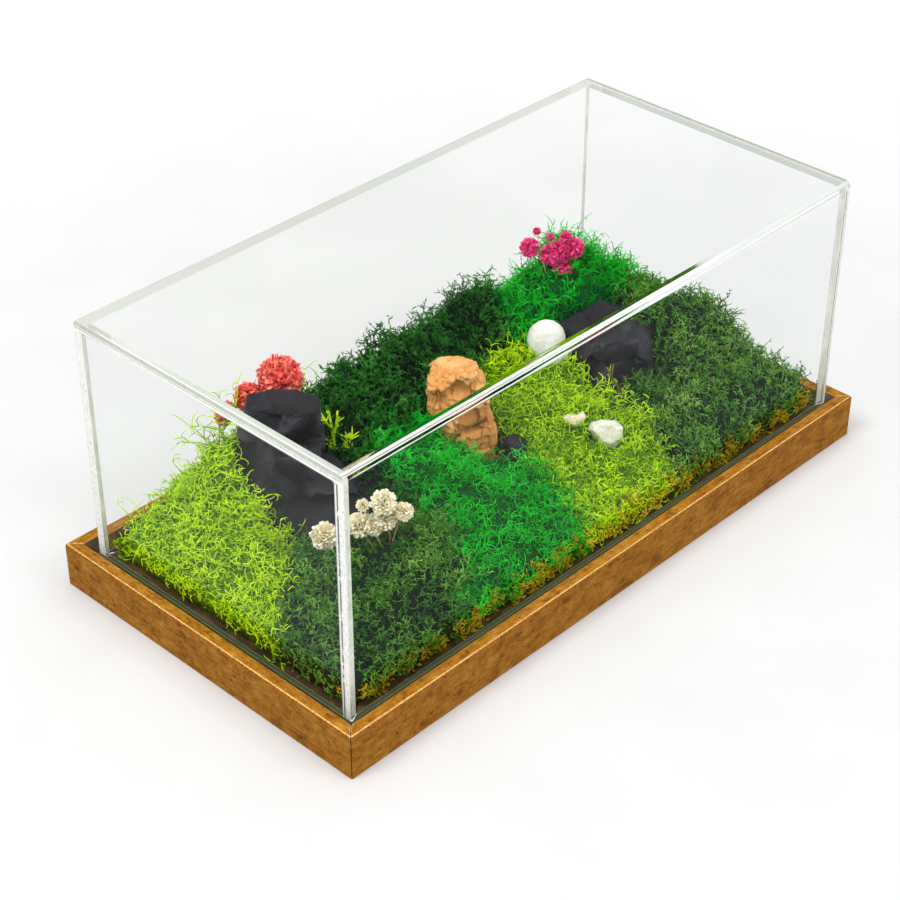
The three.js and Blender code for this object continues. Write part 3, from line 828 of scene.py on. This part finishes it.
def chipped(points, normals, rng, spacing, depth):
    """Flat chips: how far each point falls back to the plane of its nearest chip."""
    order = rng.permutation(len(points))[: max(12, int(len(points) / 40))]
    sites = []
    for i in order:
        if all(((points[i] - points[j]) ** 2).sum() > spacing**2 for j in sites):
            sites.append(i)
    tree = KDTree(len(sites))
    for k, i in enumerate(sites):
        tree.insert(points[i], k)
    tree.balance()
    facing = unit(normals[sites] + rng.normal(0, 0.34, (len(sites), 3)))
    base = points[sites] - normals[sites] * rng.uniform(0, depth, (len(sites), 1))
    warp = np.stack([fractal(points, 7, s, 3) for s in (1, 2, 3)], axis=1) * 0.9
    nearest = np.array([tree.find(p)[1] for p in points + warp])
    slope = (normals * facing[nearest]).sum(1)
    drop = ((base[nearest] - points) * facing[nearest]).sum(1) / np.maximum(slope, 0.5)
    drop = np.clip(drop, -depth * 1.4, depth * 0.35)
    return drop + fractal(points, 3.4, 9, 3) * 0.3


def black_rock_shape(points, normals, rng):
    drop = chipped(points, normals, rng, 11, 3.0)
    pits = np.clip(fractal(points, 5.5, 13, 4) - 0.25, 0, 1) * -1.2
    # The tone is darker in the pits and sunken chips: painted shade.
    return drop + pits, 0.6 + drop * 0.2 + pits * 0.3


def brown_stone_shape(points, normals, rng):
    drop = chipped(points, normals, rng, 8.5, 2.6)
    warp = fractal(points, 14, 4, 3)
    slant = points @ np.array([0.12, 0.2, 1.0])
    beds = slant / 5.2 + warp * 0.8
    step = (beds % 1.0 - 0.5) * -0.8
    crack = np.abs(fractal(points * [1.0, 1.0, 0.4], 6.0, 6, 4))
    crack = -np.clip(0.12 - crack, 0, 1) * 9.0
    fine = fractal(points * [1.0, 1.0, 2.6], 3.0, 11, 4) * 0.35
    notch = -np.exp(-(((points[:, 2] - 35 - 0.35 * (points[:, 0] - 2)) / 1.7) ** 2)) * 1.5
    # The tone is darker in the cracks, the notch and a little in sunken chips (painted shade),
    # banded by the beds and mottled.
    tone = 0.62 + (crack + notch) * 0.3 + step * 0.2 + drop * 0.08 + fine * 0.3
    return drop + step * 0.8 + crack + notch + fine, tone


def pebble_shape(points, normals, rng):
    return fractal(points, 9, 2, 2) * 0.25, np.full(len(points), 0.5)


black_rock = black_rock_finish()
for node, voxel, seed in (("rock_left", 0.8, 1), ("rock_right", 0.7, 2), ("rock_small", 0.4, 3)):
    rough_stone(node, voxel, black_rock, "black_rock", black_rock_shape, seed)
rough_stone("brown_stone", 0.55, brown_stone_finish(), "brown_rock", brown_stone_shape, 4)
rough_stone("white_pebble", 0.4, pebble_finish(), "white_pebble", pebble_shape, 5)

# Each crystal: the outline of its broad face, anticlockwise, across and up as it lies, and how
# thick it is.
CRYSTALS = {
    "quartz_clear": (
        [(-8.2, 1.6), (-5.4, -1.4), (-2.8, -5.0), (2.8, -5.6), (5.8, -3.0), (6.2, 2.6), (3.6, 5.0),
         (-2.6, 5.4), (-6.2, 4.2)],
        6.0,
    ),
    "quartz_tapered": (
        [(-4.9, 0.9), (-2.6, -1.9), (0.8, -3.0), (3.6, -1.6), (4.8, 1.4), (3.6, 3.4), (1.2, 1.9),
         (-2.6, 2.3)],
        4.0,
    ),
}
# Which way a crystal's outline runs, and its faces from back to front: size and depth.
ACROSS, UPWARD = np.array([0.681, -0.733, 0.0]), np.array([0.38, 0.353, 0.855])
GEM_RINGS = ((0.72, -0.5), (1.0, -0.2), (0.94, 0.24), (0.66, 0.5))


def cut_gem(node, finish, slot, seed):
    """A flat-faced crystal lying where its node is, its corners just eased."""
    outline, thick = np.array(CRYSTALS[node][0]), CRYSTALS[node][1]
    rng = np.random.default_rng(seed)
    low, high = (np.array(corner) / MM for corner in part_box(node))
    middle = (low + high) / 2
    outward = np.cross(ACROSS, UPWARD)
    bm = bmesh.new()
    rings = []
    for size, depth in GEM_RINGS:
        flat = outline * size * rng.uniform(0.93, 1.05, (len(outline), 1))
        spots = middle + flat[:, :1] * ACROSS + flat[:, 1:] * UPWARD + outward * thick * depth
        spots = np.clip(spots, low, high)
        rings.append([bm.verts.new(spot * MM) for spot in spots])
    for lower, upper in zip(rings, rings[1:]):
        for i in range(len(lower)):
            j = (i + 1) % len(lower)
            bm.faces.new((lower[i], lower[j], upper[j], upper[i]))
    bm.faces.new(rings[0][::-1])
    bm.faces.new(rings[-1])
    bmesh.ops.recalc_face_normals(bm, faces=bm.faces)
    ease(bm, bm.edges[:], 0.16, 1)
    show(node, "cut", closed(bm, node), [finish], slot)


cut_gem("quartz_clear", quartz_finish("quartz_clear", "cccdb4", "e4e4d2", "fafaf0"), "quartz", 61)
cut_gem("quartz_tapered", quartz_finish("quartz_milky", "d8c69a", "eee0c0", "fdf6e4"), "quartz", 62)

# ---------- dried flowers and sprigs ----------


def ball_directions(count, rng):
    """Directions spread over a ball, a little out of order."""
    i = np.arange(count) + 0.5
    way = directions(1 - 2 * i / count, i * GOLDEN_ANGLE)
    return unit(way + rng.normal(0, 0.12, way.shape))


PETAL_WIDTHS = np.array([0.35, 0.8, 1.0, 0.55])  # from its root to its tip


def add_petals(heap, centre, radius, count, rng, width, start, cup, ruffle):
    """A head of cupped petals: each grows out from the middle and curls at its end."""
    turns = frames(ball_directions(count, rng), rng)
    rows = len(PETAL_WIDTHS)
    share = np.linspace(0, 1, rows)
    across = np.array([-1.0, 0.0, 1.0])
    length = radius * rng.uniform(0.82, 1.12, count)
    wide = radius * width * rng.uniform(0.75, 1.25, count)
    bend = rng.uniform(-0.2, 1.0, count) * cup
    out = start + (1 - start) * share
    x = across * (wide[:, None] * PETAL_WIDTHS)[:, :, None]
    lift = np.abs(across) * (wide[:, None] * 0.45 * PETAL_WIDTHS)[:, :, None]
    y = bend[:, None, None] * (length[:, None] * share**2)[:, :, None] * 0.35 + lift
    z = length[:, None, None] * out[:, None] + lift * 0.5
    local = np.stack([x, y, z], axis=-1)
    local = local + rng.normal(0, radius * ruffle, local.shape)
    world = np.einsum("nij,nrcj->nrci", turns, local) + centre
    tone = 0.15 + 0.75 * share[None, :, None] + rng.normal(0, 0.1, (count, 1, 1))
    tone = np.broadcast_to(tone, (count, rows, 3)).ravel()
    heap.add(world, [grid(rows, 3, count, rows * 3)], tone)


STEM_RADIUS, STEM_POINTS = 0.34, 9


def add_stem(heap, start, end, rng):
    """A thin, slightly crooked stem."""
    share = np.linspace(0, 1, STEM_POINTS)[:, None]
    side = unit(np.cross(end - start, rng.normal(0, 1, 3)))
    reach = np.linalg.norm(end - start)
    path = start + (end - start) * share + side * np.sin(share * math.pi) * reach * 0.06
    path = path + rng.normal(0, 0.06, path.shape)
    radii = np.linspace(STEM_RADIUS, STEM_RADIUS * 0.6, STEM_POINTS)
    add_tubes(heap, path[None], radii[None], np.full((1, STEM_POINTS), 0.5), 6, slot=1)


tan_stem = stem_finish("stem_tan", "a07a3c", "e2c48c")
red_petals = petal_finish("red_petals", "b81c18", "f0443a", "ff9080")
magenta_petals = petal_finish("magenta_petals", "980448", "e81074", "ff60a4")
cream_petals = petal_finish("cream_petals", "fee0a0", "fff4ce", "fffdee")


def flower(node, rng, root, heads, petals, width, stems, finish, slot, start, cup, ruffle):
    """Heads of two layers of petals, the inner ones wider, on stems from one root."""
    heap = Heap()
    for *centre, radius in heads:
        count = max(40, int(petals * min(1, radius / 4)))
        add_petals(heap, centre, radius, count, rng, width, start, cup, ruffle)
        add_petals(heap, centre, radius * 0.84, count // 2, rng, width * 2.2, 0.8, cup, ruffle)
        for _ in range(stems):
            off = rng.normal(0, 0.2 * radius if stems > 1 else 0.05, 3)
            add_stem(heap, np.array(root), centre + off, rng)
    show(node, "petals", heap.mesh(node), [finish, tan_stem], slot)


# Each kind of head: its petals' finish, how far out they start, how cupped and how ruffled they
# are. Each flower: its kind, where its stems are rooted, its heads as (x, y, z, radius), how many
# petals a head of 4 mm or more has, how wide they are for its radius and how many stems it has.
RED = dict(finish=red_petals, slot="red_petals", start=0.5, cup=1.0, ruffle=0.045)
MAGENTA = dict(finish=magenta_petals, slot="magenta_petals", start=0.5, cup=0.9, ruffle=0.045)
CREAM = dict(finish=cream_petals, slot="cream_petals", start=0.68, cup=0.3, ruffle=0.015)
FLOWERS = {
    "red_flower_large": (RED, (-60, 45, 36), [(-58, 45.5, 62.5, 8.0)], 760, 0.1, 7),
    "red_flower_middle": (RED, (-72, 51, 34), [(-69.5, 50, 58, 5.4)], 460, 0.11, 4),
    "red_flower_small": (RED, (-79, 52, 33), [(-77.5, 53, 55, 3.2)], 300, 0.13, 2),
    "magenta_sprig": (
        MAGENTA, (89, 36, 30),
        [(79, 46, 61.5, 3.9), (81, 44, 69, 1.7), (84.5, 40, 66.5, 1.8), (84.5, 39.5, 58.5, 4.4),
         (88, 36.5, 60, 4.8), (91, 33, 61.5, 4.5), (88.5, 35, 67, 2.5), (88, 35, 52.5, 4.5),
         (90.5, 33, 48.5, 3.8)],
        260, 0.13, 1,
    ),
    "cream_sprig_left": (CREAM, (-76, -18, 27), [(-88, -11, 40, 4.9)], 340, 0.14, 1),
    "cream_sprig_right": (
        CREAM, (-73, -24, 27),
        [(-81, -17, 44, 4.3), (-80, -18, 52.5, 2.3), (-75, -23, 53.5, 4.5),
         (-77.5, -20.5, 44, 4.0), (-74.5, -23.5, 46.5, 4.0), (-70, -28, 49.5, 3.4)],
        320, 0.14, 1,
    ),
}
for seed, (node, (kind, *spec)) in enumerate(FLOWERS.items()):
    flower(node, np.random.default_rng(300 + seed), *spec, **kind)


def branch_piece(node, branches, finish, slot, seed, thick, twigs=0):
    """A sprig of tapering branches, each a list of points, with some thin twigs along each."""
    rng = np.random.default_rng(seed)
    heap = Heap()
    for points, share in branches:
        points = np.array(points, float)
        spans = np.linspace(0, len(points) - 1, 4 * len(points))
        path = np.stack([np.interp(spans, np.arange(len(points)), row) for row in points.T], 1)
        for _ in range(3):
            path[1:-1] = (path[:-2] + 2 * path[1:-1] + path[2:]) / 4
        path = path + rng.normal(0, 0.04, path.shape)
        radii = np.linspace(thick * share, thick * share * 0.55, len(path))
        tone = np.linspace(0.35, 0.8, len(path))
        add_tubes(heap, path[None], radii[None], tone[None], 6)
        if twigs:
            roots = path[rng.integers(len(path) // 3, len(path), twigs)]
            ways = unit(rng.normal(0, 0.6, (twigs, 3)) + unit(path[-1] - path[0]))
            steps = np.linspace(0, 1, 5)[None, :, None]
            reach = rng.uniform(2.0, 4.4, (twigs, 1, 1))
            bow = rng.normal(0, 0.5, (twigs, 1, 3)) + [0, 0, 0.5]
            twig = roots[:, None] + ways[:, None] * steps * reach + bow * steps**2
            thin, pale = np.linspace((0.34, 0.6), (0.2, 0.95), 5).T
            add_tubes(heap, twig, np.tile(thin, (twigs, 1)), np.tile(pale, (twigs, 1)), 5)
    show(node, "branches", heap.mesh(node), [finish], slot)


branch_piece(
    "lime_sprig",
    [
        ([(-50, 24, 24), (-51, 24, 34), (-52, 24.5, 44), (-53, 25, 54)], 1.0),
        ([(-52, 24.5, 44), (-51, 24, 48), (-50.5, 23.5, 52)], 0.8),
        ([(-52.6, 24.8, 48), (-54, 25.3, 50.5), (-54.8, 25.8, 53)], 0.6),
        ([(-51.2, 24, 35), (-49.5, 22, 39), (-48, 20.5, 45)], 0.9),
        ([(-49.3, 21.8, 40), (-47.8, 20.6, 41.5), (-46.9, 20, 43.5)], 0.6),
        ([(-51.2, 24, 36), (-52.8, 24.6, 39), (-53.8, 25, 43)], 0.85),
        ([(-52.8, 24.6, 39), (-53.9, 25.2, 39.8), (-54.8, 25.8, 41.5)], 0.55),
        ([(-50.5, 24, 30), (-48.5, 22, 34), (-46.9, 20, 38)], 0.85),
        ([(-50.3, 24, 28), (-52.2, 24.8, 31), (-53.6, 25.4, 34.5)], 0.8),
        ([(-48.6, 22, 34), (-48.2, 21.4, 36), (-47.6, 21, 37.6)], 0.55),
        ([(-50, 24, 25), (-48.4, 22.6, 28), (-47.2, 21.6, 31.5)], 0.7),
    ],
    moss_inks["lime"], "moss_lime", 401, 0.85, 9,
)
branch_piece(
    "forked_twig",
    [
        ([(67.5, -12.5, 22), (66.5, -11.5, 29), (64.5, -9.3, 34), (63, -7.5, 39)], 1.0),
        ([(64.5, -9.3, 35), (64.8, -9.4, 38), (65, -9.5, 40.5)], 0.6),
    ],
    stem_finish("twig", "5a4a22", "8c7a3c"), "twig", 402, 0.62,
)

# ---------- frame base ----------

gilt = {"x": gilded("gilt_long", "x"), "y": gilded("gilt_short", "y")}

LIP = 4.9  # how far in from the outer face the gilt reaches
TOP_ARRIS = 17.5  # above this the eased edges carry the bright line of polished wear and painted highlight


def eased_rail(node, finishes, depth_of):
    """A rail with its sharp edges eased, gilt outside and on the lip and dark inside."""
    bm = opened(node)
    bmesh.ops.dissolve_limit(bm, angle_limit=math.radians(2), verts=bm.verts, edges=bm.edges)
    sharp = [e for e in bm.edges if e.is_manifold and e.calc_face_angle() > math.radians(30)]
    ease(bm, sharp, 0.26, 3)
    for face in bm.faces:
        middle = face.calc_center_median() / MM
        if depth_of(middle) > LIP:
            face.material_index = int(face.normal.z > -0.5)
        # Eased faces along the top arris take the bright line: polished wear and a painted
        # highlight.
        elif middle.z > TOP_ARRIS and 0.2 < face.normal.z < 0.97:
            face.material_index = 2
    flat_faced(show(node, "eased", closed(bm, node), finishes, "gilded_frame"))


dark_ledge = ledge_finish()
polish_and_highlight = polish_and_highlight_finish()
for side, along, depth_of in (
    ("front", "x", lambda p: p.y + BASE_Y),
    ("back", "x", lambda p: BASE_Y - p.y),
    ("left", "y", lambda p: p.x + BASE_X),
    ("right", "y", lambda p: BASE_X - p.x),
):
    eased_rail(f"frame_rail_{side}", [gilt[along], dark_ledge, polish_and_highlight], depth_of)

for node, finish in (("base_board", hardboard_finish()), ("moss_bed", bed_finish())):
    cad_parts[node].data.materials.clear()
    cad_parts[node].data.materials.append(finish)

# ---------- cover ----------

clear_wrap = clear_sheet("clear_acrylic", (0.994, 0.997, 0.994, 1), 0.2, 1.0)
clear_end = clear_sheet("clear_acrylic_end", (0.99, 0.994, 0.994, 1), 0.32, 0.8)
glued = glued_edge()

BEND_PIECES = 12
PAINTED_BEND_STEPS = range(5, 10)  # the steps of the outline painted as a pale bar of light along the front bend


def arch(inset, radius):
    """The outline of the bent sheet seen along x, from the front foot to the back foot."""
    front, back, top = FRONT + inset, BACK - inset, TOP - inset
    out = [(front, FOOT)]
    for middle, start in ((front + radius, math.pi), (back - radius, math.pi / 2)):
        for i in range(BEND_PIECES + 1):
            a = start - i * math.pi / 2 / BEND_PIECES
            out.append((middle + radius * math.cos(a), top - radius + radius * math.sin(a)))
    return out + [(back, FOOT)]


def cover_sheet(node, bm, finishes):
    """A sheet whose sharp edges are just broken."""
    bmesh.ops.recalc_face_normals(bm, faces=bm.faces)
    ease(bm, [e for e in bm.edges if e.calc_face_angle(0) > math.radians(40)], 0.18, 2)
    flat_faced(show(node, "sheet", closed(bm, node), finishes, "clear_acrylic"))


def ring(bm, x, outline):
    return [bm.verts.new((x * MM, y * MM, z * MM)) for y, z in outline]


def bent_sheet():
    bm = bmesh.new()
    outer, inner = arch(0, BEND), arch(SHEET, BEND_INSIDE)
    a0, b0 = ring(bm, -COVER_X, outer), ring(bm, -COVER_X, inner)
    a1, b1 = ring(bm, COVER_X, outer), ring(bm, COVER_X, inner)
    for i in range(len(outer) - 1):
        bm.faces.new((a0[i], a1[i], a1[i + 1], a0[i + 1])).material_index = 2 * (i in PAINTED_BEND_STEPS)
        bm.faces.new((b0[i], b0[i + 1], b1[i + 1], b1[i]))
        bm.faces.new((a0[i], a0[i + 1], b0[i + 1], b0[i])).material_index = 1
        bm.faces.new((a1[i], b1[i], b1[i + 1], a1[i + 1])).material_index = 1
    for i in (0, -1):
        bm.faces.new((a0[i], b0[i], b1[i], a1[i])).material_index = 1
    return bm


def end_panel(start):
    """A panel from x = start that fills the arch, with a dull rim where it is upright."""
    bm = bmesh.new()
    outline = arch(SHEET + 0.1, BEND_INSIDE)
    a0, a1 = ring(bm, start, outline), ring(bm, start + SHEET, outline)
    for i in range(len(outline)):
        j = (i + 1) % len(outline)
        upright = min(outline[i][1], outline[j][1]) < TOP - SHEET - 2 * BEND_INSIDE
        bm.faces.new((a0[i], a1[i], a1[j], a0[j])).material_index = int(upright)
    bm.faces.new(a0)
    bm.faces.new(a1[::-1])
    return bm


cover_sheet("cover_wrap_sheet", bent_sheet(), [clear_wrap, cut_end(), bend_painted_light()])
cover_sheet("cover_end_left", end_panel(-COVER_X), [clear_end, glued])
cover_sheet("cover_end_right", end_panel(COVER_X - SHEET), [clear_end, glued])

# ---------- floor, light and camera ----------

AIM = (0, 0, 0.04)  # what the lamps point at, in metres


def studio():
    """A paper floor, a white sky, three lamps and the camera, in metres."""
    floor = bpy.data.meshes.new("floor")
    floor.from_pydata([(-8, -8, 0), (8, -8, 0), (8, 8, 0), (-8, 8, 0)], [], [(0, 1, 2, 3)])
    f = Finish("paper")
    near = f.ramp(f.cloud(60, 3), (0.3, grey(0.62)), (0.7, grey(0.65)))
    away = f.put("VectorMath", {0: f.place()}, "Value", operation="LENGTH")
    colour = f.mix(f.band(away, 200.0, 600.0), near, grey(0.8))
    floor.materials.append(f.coat(colour, 0.8, Specular_IOR_Level=0.2))
    ground = added("floor", floor)
    ground.visible_glossy = False

    sky = Finish("studio", bpy.data.worlds)
    mirrored = sky.sum("MULTIPLY", sky.ray("Glossy"), sky.ray("Reflection"))
    colour = sky.mix(mirrored, grey(1), (0.22, 0.22, 0.225, 1))
    light = sky.put("Background", {"Color": colour, "Strength": 0.8})
    sky.put("OutputWorld", {"Surface": light})
    SCENE.world = sky.material

    def softbox(name, place, size, power):
        lamp = bpy.data.lights.new(name, "AREA")
        lamp.shape, lamp.size, lamp.size_y, lamp.energy = "RECTANGLE", size, size, power
        holder = added(name, lamp)
        holder.location = place
        way = Vector(AIM) - Vector(place)
        holder.rotation_euler = way.to_track_quat("-Z", "Y").to_euler()

    softbox("key", (-1.2, 0.2, 1.7), 0.8, 20)
    softbox("fill", (0.5, -1.6, 1.2), 0.9, 10)
    softbox("top", (-0.1, -0.1, 2.0), 1.0, 12)

    SCENE.view_settings.view_transform = "Standard"
    camera = bpy.data.cameras.new("camera")
    camera.sensor_width, camera.lens = 36, 85.49
    camera.clip_start, camera.clip_end = 0.05, 50
    eye = added("camera", camera)
    eye.location = (-0.48945, -0.45476, 0.49209)
    eye.rotation_euler = (0.961492, -0.000916, -0.80554)
    SCENE.camera = eye


studio()
